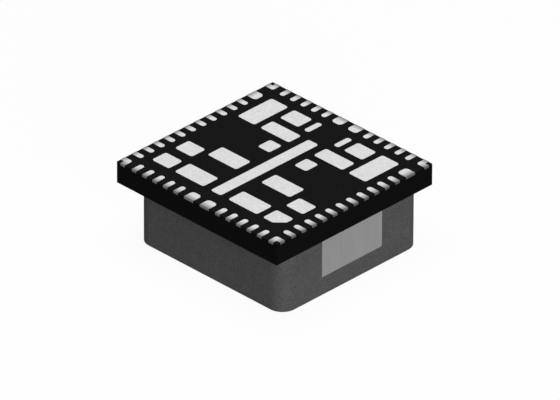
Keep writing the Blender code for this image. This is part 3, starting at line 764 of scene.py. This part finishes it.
def lead_root(side, offset):
    """Where a lead meets the package's side, and the turn that points it inwards."""
    roots = {
        "front": ((offset, -END_EDGE, LEAD_BASE), 0.0),
        "right": ((SIDE_EDGE, offset, LEAD_BASE), math.pi / 2),
        "back": ((offset, END_EDGE, LEAD_BASE), math.pi),
        "left": ((-SIDE_EDGE, offset, LEAD_BASE), -math.pi / 2),
    }
    return roots[side]


def root_points(name, roots, lower=0.0):
    """A mesh of points, one for each lead, that carry the lead's turn."""
    mesh = bpy.data.meshes.new(name)
    mesh.from_pydata([Vector(spot) - Vector((0, 0, lower)) for spot, turn in roots], [], [])
    turns = mesh.attributes.new("turn", "FLOAT", "POINT")
    turns.data.foreach_set("value", [turn for spot, turn in roots])
    return mesh


half_row_start = WIDE_LEAD_OFFSET + WIDE_LEAD_STEP
half_row = [half_row_start + LEAD_PITCH * index for index in range(LEADS_IN_HALF_ROW)]
long_row_start = END_EDGE - WIDE_LEAD_SETBACK - WIDE_LEAD_STEP
long_row = [long_row_start - LEAD_PITCH * index for index in range(LEADS_IN_LONG_ROW)]
narrow_roots = []
for side in ("front", "back"):
    narrow_roots += [lead_root(side, sign * offset) for offset in half_row for sign in (-1, 1)]
for side in ("left", "right"):
    narrow_roots += [lead_root(side, offset) for offset in long_row]
print(len(narrow_roots), "narrow leads")

# %% The leads, made by the tree
lead_sizes = {"Width": LEAD_WIDTH, "Length": LEAD_LENGTH, "Height": FRAME_THICKNESS,
              "Tip Radius": LEAD_TIP_RADIUS, "Soft Edge": SOFT_EDGE, "Overcut": 0.0,
              "Plating": TIN, "Cut End": SAWN_LEAD_PAINTED_SHADE}
wide_sizes = {**lead_sizes, "Width": WIDE_LEAD_WIDTH, "Tip Radius": WIDE_LEAD_TIP_RADIUS}
wide_roots = {
    "wide_lead_front_left": lead_root("front", -WIDE_LEAD_OFFSET),
    "wide_lead_front_right": lead_root("front", WIDE_LEAD_OFFSET),
    "wide_lead_back_left": lead_root("back", -WIDE_LEAD_OFFSET),
    "wide_lead_back_right": lead_root("back", WIDE_LEAD_OFFSET),
    "wide_lead_left": lead_root("left", END_EDGE - WIDE_LEAD_SETBACK),
    "wide_lead_right": lead_root("right", END_EDGE - WIDE_LEAD_SETBACK),
}

narrow_leads = run_tree("narrow_leads", root_points("narrow_leads", narrow_roots), LEAD_TREE, lead_sizes)
settle(narrow_leads, "tinned_copper", "mould_body")
for name, root in wide_roots.items():
    wide_lead = run_tree("tinned_" + name, root_points(name, [root]), LEAD_TREE, wide_sizes)
    settle(wide_lead, "tinned_copper", name)

# %% [markdown]
# Each of the four corner leads is two crossed arms, one to each side, and the corner between them
# is bare. Their outline has a hollow corner, which the tree's plain fingers don't, so it is made as
# a stack of rings, like the lands. One outline serves all four: signs mirror it into its corner,
# and where that turns its order round, the order is turned back, so that no face points inwards.

# %% The corner leads
CORNER_LEAD_INSET = 0.28 * MM


def make_corner_lead(node_name, x_sign, y_sign):
    """Two crossed arms that reach the package's two sides, with the corner itself left bare."""
    near = CORNER_LEAD_INSET
    far = CORNER_LEAD_INSET + LEAD_WIDTH
    arms = [(0, far), (0, near), (near, near), (near, 0), (far, 0), (far, far)]
    corners = [(x_sign * (SIDE_EDGE - x), y_sign * (END_EDGE - y)) for x, y in arms]
    radii = [0.0] * 5 + [LEAD_TIP_RADIUS]
    if x_sign * y_sign < 0:
        corners.reverse()
        radii.reverse()
    bm = solid_from_rings(corners, radii, [(0.0, LEAD_BASE)] + upper_edge(LEAD_TOP, SOFT_EDGE))
    piece = new_piece("tinned_" + node_name, bm, TIN, SAWN_LEAD_PAINTED_SHADE)
    for face in piece.data.polygons:
        outer = max(abs(face.center.x) - SIDE_EDGE, abs(face.center.y) - END_EDGE)
        face.material_index = 1 if outer > -MERGE else 0
    settle(piece, "tinned_copper", node_name)


make_corner_lead("corner_lead_front_right", 1, -1)
make_corner_lead("corner_lead_back_right", 1, 1)
make_corner_lead("corner_lead_back_left", -1, 1)
make_corner_lead("corner_lead_front_left", -1, -1)

# %% [markdown]
# ## The moulded slab
#
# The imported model's mould already has a pocket for every piece that is cast into it, so the finer
# slab starts from a copy of it. The mouths of the lands' pockets are coarse at the corners, so their
# rims are filled, all at once, and cut again to the lands' own outlines. The narrow leads are part
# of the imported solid, and have to come out: the lead tree, run again with every size let out a
# little, makes the tool that cuts them away and leaves their pockets. What is left is then cut to
# the inside of a block with soft edges, which takes the sharpness off the sawn edges without
# touching the pockets.

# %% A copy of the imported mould
def copy_of_node(node_name, name):
    """The node's triangles with their shared corners joined, as an object of its own."""
    bm = bmesh.new()
    bm.from_mesh(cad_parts[node_name].data)
    bmesh.ops.remove_doubles(bm, verts=bm.verts, dist=MERGE)
    return new_piece(name, bm)


def combine(target, tool, operation):
    """Cuts, joins or trims the target with the tool, which is then removed."""
    modifier = target.modifiers.new(operation, "BOOLEAN")
    modifier.operation = operation
    modifier.solver = "EXACT"
    modifier.object = tool
    mesh = evaluated_mesh(target, target.name)
    target.modifiers.clear()
    target.data = mesh
    bpy.data.objects.remove(tool)


slab = copy_of_node("mould_body", "moulded_slab")
report(slab)

# %% The lands' pockets get rounder mouths
SEAT_GAP = 0.01 * MM
OVERCUT = 0.30 * MM              # how far a cutting tool stands out of what it cuts
RIM_WIDTH = 0.05 * MM            # of the filling round a pocket's mouth
TOOL_STEP = 0.002 * MM           # keeps a tool's faces off the faces that it works on


def over_lands(name, radius, let_out, z_limits):
    """A tool with a prism over every land: its outline, let out, from one height to the other."""
    joined = bmesh.new()
    for node_name in land_names:
        corners = land_outline(node_name)
        rings = [(-let_out, z) for z in z_limits]
        prism = new_piece("prism", solid_from_rings(corners, [radius] * len(corners), rings))
        joined.from_mesh(prism.data)
        bpy.data.objects.remove(prism)
    return new_piece(name, joined)


flange_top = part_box(INDEX_LAND)[0].z + FLANGE_THICKNESS
mouth_base = flange_top + SEAT_GAP + TOOL_STEP
rims = over_lands("pocket_rims", 0.0, RIM_WIDTH, (mouth_base, MOULD_TOP + TOOL_STEP))
combine(slab, rims, "UNION")
mouths = over_lands("pocket_mouths", LAND_CORNER_RADIUS, SEAT_GAP, (flange_top, LEAD_TOP + OVERCUT))
combine(slab, mouths, "DIFFERENCE")
report(slab)

# %% The narrow leads come out, and leave their rooms
room_sizes = {**lead_sizes, "Width": LEAD_WIDTH + 2 * SEAT_GAP, "Length": LEAD_LENGTH + SEAT_GAP,
              "Height": FRAME_THICKNESS + SEAT_GAP + OVERCUT, "Tip Radius": LEAD_TIP_RADIUS + SEAT_GAP,
              "Soft Edge": 0.0, "Overcut": OVERCUT}
lead_room = run_tree("lead_room", root_points("lead_room", narrow_roots, SEAT_GAP), LEAD_TREE, room_sizes)
combine(slab, lead_room, "DIFFERENCE")
report(slab)

# %% The sawn edges, and the slab's two finishes
SAWN_EDGE = 0.020 * MM           # softness of the sawn edges
UPRIGHT = 0.5                    # a face whose normal has less Z than this stands upright

block_corners = rectangle((-SIDE_EDGE, SIDE_EDGE), (-END_EDGE, END_EDGE))
block_rings = lower_edge(mould_low.z, SAWN_EDGE) + upper_edge(MOULD_TOP, SAWN_EDGE)
soft_block = new_piece("soft_block", solid_from_rings(block_corners, [SAWN_EDGE] * 4, block_rings))
combine(slab, soft_block, "INTERSECT")
slab.data.materials.clear()
for material in (MOULDED, SAWN_PAINTED_SHADE):
    slab.data.materials.append(material)
for face in slab.data.polygons:
    outer = max(abs(face.center.x) - SIDE_EDGE, abs(face.center.y) - END_EDGE)
    face.material_index = 1 if abs(face.normal.z) < UPRIGHT and outer > -SAWN_EDGE else 0
settle(slab, "moulding_compound", "mould_body")

# %% [markdown]
# ## The inductor
#
# The strip of each terminal leaves the block low on its side, turns up the side, and folds over the
# top as the foot that is soldered to the package. In section the strip is one line with round bends,
# so both the strap and the slot that it lies in are drawn as that section and swept across.

# %% The terminals
TERMINAL_THICKNESS = 0.25 * MM
TERMINAL_EXIT = 0.93 * MM
BEND_RADIUS = 0.35 * MM
STRIP_EDGE = 0.025 * MM
BEND_STEPS = 10
FOOT_LENGTH = 1.90 * MM
TAB_CLEARANCE = 0.10 * MM        # between the coil and a terminal inside the block
WIRE_THICKNESS = 0.42 * MM       # of the coil's upper tail, which the left terminal stands under

body_low, body_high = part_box("inductor_body")
coil_low, coil_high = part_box("coil")
INDUCTOR_TOP = body_high.z
COIL_RADIUS = (coil_high.y - coil_low.y) / 2
TAB_END = COIL_RADIUS + TAB_CLEARANCE
LEG_TOP = coil_high.z - WIRE_THICKNESS - SEAT_GAP


def strip_section(face, leg_top, gap=0.0):
    """The strip seen from the front, on the right-hand side: its corners and their radii."""
    low, high = TERMINAL_EXIT - gap, INDUCTOR_TOP + gap
    wall = TERMINAL_THICKNESS + 2 * gap
    face = face + gap
    tab, foot = TAB_END - gap, face - gap - FOOT_LENGTH - gap
    outer, inner = BEND_RADIUS + gap, BEND_RADIUS - TERMINAL_THICKNESS - gap
    corners = [(tab, low), (face, low), (face, high), (foot, high), (foot, high - wall),
               (face - wall, high - wall), (face - wall, low + wall)]
    radii = [0.0, outer, outer, 0.0, 0.0, inner, inner]
    if leg_top:
        top = leg_top + gap
        corners += [(tab + wall, low + wall), (tab + wall, top), (tab, top)]
        radii = [outer] + radii[1:] + [inner, 0.0, 0.0]
    else:
        corners += [(tab, low + wall)]
        radii += [0.0]
    return corners, radii


def sweep_strip(face, leg_top, sign, y_limits, soft, gap=0.0):
    """The section carried from one edge of the strip to the other. The left one is turned about Z."""
    def stand(x, z, y):
        return (sign * x, y, z)
    corners, radii = strip_section(face, leg_top, gap)
    y0, y1 = y_limits
    rings = lower_edge(y0 - gap, soft) + upper_edge(y1 + gap, soft)
    return solid_from_rings(corners, radii, rings, stand, BEND_STEPS)


def strap_place(side):
    """How far out the strip's face lies, and its two edges along Y."""
    low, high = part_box("terminal_" + side)
    return max(abs(low.x), abs(high.x)), (low.y, high.y)


straps = {"right": (1, 0.0), "left": (-1, LEG_TOP)}
for side, (sign, leg_top) in straps.items():
    face, y_limits = strap_place(side)
    bm = sweep_strip(face, leg_top, sign, y_limits, STRIP_EDGE)
    strap = new_piece("bent_terminal_" + side, bm, STRIP_PAINTED_SHADE)
    settle(strap, "tinned_copper", "terminal_" + side)

# %% [markdown]
# The block is pressed in a die, so its upright corners are round and its sides are straight. It is
# made again with finer corners and a slight softness along its edges, and then cut: a slot for each
# strip, opened to the outside along the strap and over the foot.

# %% The pressed block
BLOCK_CORNER_RADIUS = 0.92 * MM
BLOCK_CORNER_STEPS = 16
BLOCK_EDGE = 0.035 * MM


def box_tool(name, x_limits, y_limits, z_limits):
    corners = rectangle(x_limits, y_limits)
    return new_piece(name, solid_from_rings(corners, [0.0] * 4, [(0.0, z) for z in z_limits], steps=1))


block_outline = rectangle((body_low.x, body_high.x), (body_low.y, body_high.y))
rings = lower_edge(body_low.z, BLOCK_EDGE) + upper_edge(INDUCTOR_TOP, BLOCK_EDGE)
bm = solid_from_rings(block_outline, [BLOCK_CORNER_RADIUS] * 4, rings, steps=BLOCK_CORNER_STEPS)
block = new_piece("pressed_block", bm)
for side, (sign, leg_top) in straps.items():
    face, y_limits = strap_place(side)
    slot_mesh = sweep_strip(face, leg_top, sign, y_limits, 0.0, SEAT_GAP)
    combine(block, new_piece("strip_slot", slot_mesh), "DIFFERENCE")
    outside = face + OVERCUT
    above = INDUCTOR_TOP + OVERCUT
    half = TERMINAL_THICKNESS / 2
    let_out = (y_limits[0] - SEAT_GAP, y_limits[1] + SEAT_GAP)
    openings = {
        "over_strap": ((face - half, outside), (TERMINAL_EXIT + BEND_RADIUS, above)),
        "over_foot": ((face - FOOT_LENGTH - SEAT_GAP, outside), (INDUCTOR_TOP - half, above)),
    }
    for name, (x_limits, z_limits) in openings.items():
        across = sorted(sign * x for x in x_limits)
        combine(block, box_tool(name, across, let_out, z_limits), "DIFFERENCE")
block.data.materials.append(POWDER)
settle(block, "pressed_powder", "inductor_body")

# %% [markdown]
# ## Light, floor and camera
#
# The light is that of a small product shot: one broad lamp overhead, and one low to the right, which
# reaches the front face at a slant. So the three faces that show have three plain tones. The lamps
# hang thirty centimetres away, which is far for a chip, so each face is lit evenly from end to end.
# They are kept out of reflections: the matt tin then takes its brightness from the white studio
# round it, and stays just under white from every side. The floor and the world look white to the
# camera and in reflections, but send only part of that on as light, and the floor keeps the shadow.

# %% Lamps
LAMP_DISTANCE = 0.30


def lamp(name, azimuth, elevation, level, size):
    """A square lamp that lights a white surface facing it to this level, where 1 is full white."""
    a, e = math.radians(azimuth), math.radians(elevation)
    towards = Vector((math.sin(a) * math.cos(e), -math.cos(a) * math.cos(e), math.sin(e)))
    light = bpy.data.lights.new(name, "AREA")
    light.shape = "SQUARE"
    light.size = size
    light.energy = level * (math.pi * LAMP_DISTANCE) ** 2
    holder = bpy.data.objects.new(name, light)
    holder.location = towards * LAMP_DISTANCE
    holder.rotation_euler = towards.to_track_quat("Z", "Y").to_euler()
    holder.visible_glossy = False
    bpy.context.scene.collection.objects.link(holder)
    print(name, "lamp:", round(light.energy, 3), "watts")


lamp("overhead", azimuth=0, elevation=88, level=0.72, size=0.22)
lamp("low_front_right", azimuth=62, elevation=14, level=0.70, size=0.16)

# %% World and floor
WORLD_LIGHT = 0.05               # what the world adds as light
FLOOR_COLOR = 0.20               # how much of its light the floor sends on
FLOOR_GLOW = 0.94                # share of the floor's white that no shadow darkens
FLOOR_SIZE = 0.60
FLOOR_GAP = 0.01 * MM            # keeps the floor's face apart from the block's underside


def seen_directly(tree):
    """1 for what the camera sees, also in reflections and through glass, and 0 for light."""
    path = tree.nodes.new("ShaderNodeLightPath")
    total = path.outputs["Is Camera Ray"]
    for name in ("Is Glossy Ray", "Is Transmission Ray"):
        higher = tree.nodes.new("ShaderNodeMath")
        higher.operation = "MAXIMUM"
        tree.links.new(total, higher.inputs[0])
        tree.links.new(path.outputs[name], higher.inputs[1])
        total = higher.outputs[0]
    return total


def shade_world():
    world = bpy.data.worlds.new("studio")
    world.use_nodes = True
    tree = world.node_tree
    strength = tree.nodes.new("ShaderNodeMapRange")
    strength.inputs["To Min"].default_value = WORLD_LIGHT
    strength.inputs["To Max"].default_value = 1.0
    tree.links.new(seen_directly(tree), strength.inputs["Value"])
    background = tree.nodes["Background"]
    background.inputs["Color"].default_value = (1.0, 1.0, 1.0, 1.0)
    tree.links.new(strength.outputs["Result"], background.inputs["Strength"])
    bpy.context.scene.world = world


def floor_material():
    material = bpy.data.materials.new("pale_floor")
    material.use_nodes = True
    tree = material.node_tree
    tree.nodes.clear()
    seen = seen_directly(tree)
    color = tree.nodes.new("ShaderNodeMapRange")
    color.inputs["To Min"].default_value = FLOOR_COLOR
    color.inputs["To Max"].default_value = 1.0
    tree.links.new(seen, color.inputs["Value"])
    matt = tree.nodes.new("ShaderNodeBsdfDiffuse")
    tree.links.new(color.outputs["Result"], matt.inputs["Color"])
    glow = tree.nodes.new("ShaderNodeEmission")
    share = tree.nodes.new("ShaderNodeMath")
    share.operation = "MULTIPLY"
    share.inputs[1].default_value = FLOOR_GLOW
    tree.links.new(seen, share.inputs[0])
    mix = tree.nodes.new("ShaderNodeMixShader")
    tree.links.new(share.outputs[0], mix.inputs["Fac"])
    tree.links.new(matt.outputs[0], mix.inputs[1])
    tree.links.new(glow.outputs[0], mix.inputs[2])
    result = tree.nodes.new("ShaderNodeOutputMaterial")
    tree.links.new(mix.outputs[0], result.inputs["Surface"])
    return material


shade_world()
floor_corners = rectangle((-FLOOR_SIZE / 2, FLOOR_SIZE / 2), (-FLOOR_SIZE / 2, FLOOR_SIZE / 2))
bm = bmesh.new()
floor_height = cad_box[0].z - FLOOR_GAP
bm.faces.new([bm.verts.new((x, y, floor_height)) for x, y in floor_corners])
floor = new_piece("floor", bm, floor_material())
print("floor at", round(floor_height / MM, 3), "mm")

# %% [markdown]
# The camera looks at a corner of the package from a little over thirty degrees up. In the
# photograph, edges that are parallel on the object stay almost parallel, so the lens is very long
# and stands far off. The numbers were found by laying the render's outline over the photograph's.

# %% Camera
AZIMUTH = 44.71
ELEVATION = 31.17
ROLL = 0.26
LENS = 910.0
CAMERA_DISTANCE = 0.770
AIM_HEIGHT = 2.627 * MM
AIM_RIGHT = 0.301 * MM
AIM_UP = 0.147 * MM


def add_camera():
    """A long lens at the photograph's angle, from far off, so that parallel edges stay parallel."""
    a, e = math.radians(AZIMUTH), math.radians(ELEVATION)
    back = Vector((math.sin(a) * math.cos(e), -math.cos(a) * math.cos(e), math.sin(e)))
    right = Vector((math.cos(a), math.sin(a), 0))
    up = back.cross(right)
    aim = Vector((0, 0, AIM_HEIGHT)) + right * AIM_RIGHT + up * AIM_UP
    data = bpy.data.cameras.new("camera")
    data.lens = LENS
    data.clip_start = CAMERA_DISTANCE / 100
    data.clip_end = CAMERA_DISTANCE * 100
    camera = bpy.data.objects.new("camera", data)
    turned = Matrix((right, up, back)).transposed() @ Matrix.Rotation(math.radians(ROLL), 3, "Z")
    camera.matrix_world = Matrix.Translation(aim + back * CAMERA_DISTANCE) @ turned.to_4x4()
    bpy.context.scene.collection.objects.link(camera)
    bpy.context.scene.camera = camera
    print("camera", round(camera.location.length / MM), "mm from the part's foot")


add_camera()
bpy.context.scene.view_settings.view_transform = "Standard"
